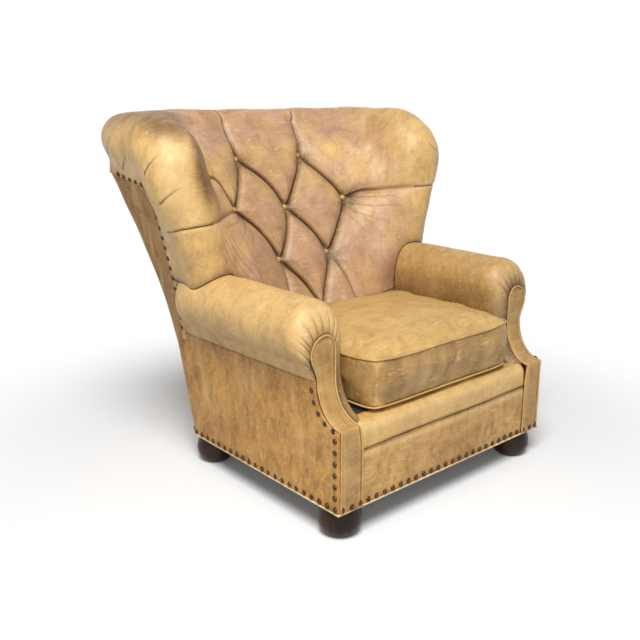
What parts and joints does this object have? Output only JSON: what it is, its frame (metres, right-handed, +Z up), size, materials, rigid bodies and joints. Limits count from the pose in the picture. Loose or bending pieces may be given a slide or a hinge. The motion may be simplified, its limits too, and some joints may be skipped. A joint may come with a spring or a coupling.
{
  "type": "wingback armchair",
  "caption": "Rolled-arm wingback armchair in tan leather with a diamond-tufted barrel back, rolled wings, loose seat cushion, nailed edges and turned bun feet.",
  "frame": {"origin": "on the floor, midway between the extreme left and right and the extreme front and back", "axes": "the chair faces -Y, +X is to the right seen from behind the chair, +Z is up"},
  "size_m": [1.15, 0.968, 1.0569],
  "materials": {
    "leather": "distressed pull-up leather, satin, worn paler on the seat and brown in the folds",
    "frame_wood": "bare sawn hardwood",
    "foot_wood": "espresso stain, satin lacquer",
    "steel": "bright drawn wire and rod",
    "dust_cloth": "black woven lining",
    "webbing": "jute webbing"
  },
  "bodies": {
    "chair": {"frame_front_rail": "frame_wood", "frame_back_rail": "frame_wood", "frame_side_rail_left": "frame_wood", "frame_side_rail_right": "frame_wood", "corner_block_front_left": "frame_wood", "corner_block_front_right": "frame_wood", "corner_block_back_left": "frame_wood", "corner_block_back_right": "frame_wood", "arm_post_left": "frame_wood", "arm_post_right": "frame_wood", "arm_rail_left": "frame_wood", "arm_rail_right": "frame_wood", "back_post_left": "frame_wood", "back_post_right": "frame_wood", "back_hoop": "frame_wood", "back_tack_rail": "frame_wood", "back_web_1": "webbing", "back_web_2": "webbing", "back_web_3": "webbing", "back_web_4": "webbing", "seat_spring_1": "steel", "seat_spring_2": "steel", "seat_spring_3": "steel", "seat_spring_4": "steel", "seat_spring_5": "steel", "foot_bolt_front_left": "steel", "foot_bolt_front_right": "steel", "foot_bolt_back_left": "steel", "foot_bolt_back_right": "steel", "seat_deck": "dust_cloth", "dust_cover": "dust_cloth", "front_border": "leather", "front_lip": "leather", "arm_pad_left": "leather", "arm_pad_right": "leather", "arm_facing_left": "leather", "arm_facing_right": "leather", "outside_arm_left": "leather", "outside_arm_right": "leather", "outside_back": "leather", "inside_back": "leather", "tuft_button_1": "leather", "tuft_button_2": "leather", "tuft_button_3": "leather", "tuft_button_4": "leather", "tuft_button_5": "leather", "tuft_button_6": "leather", "tuft_button_7": "leather", "bun_foot_front_left": "foot_wood", "bun_foot_front_right": "foot_wood", "bun_foot_back_left": "foot_wood", "bun_foot_back_right": "foot_wood"},
    "cushion": {"seat_cushion": "leather", "cushion_welt_bottom": "leather", "cushion_welt_top": "leather"}
  },
  "joints": [
    {"name": "cushion_lift_out", "type": "slide", "parent": "chair", "child": "cushion", "axis": [0, -0.7071, 0.7071], "range_m": [0, 0.45]}
  ]
}
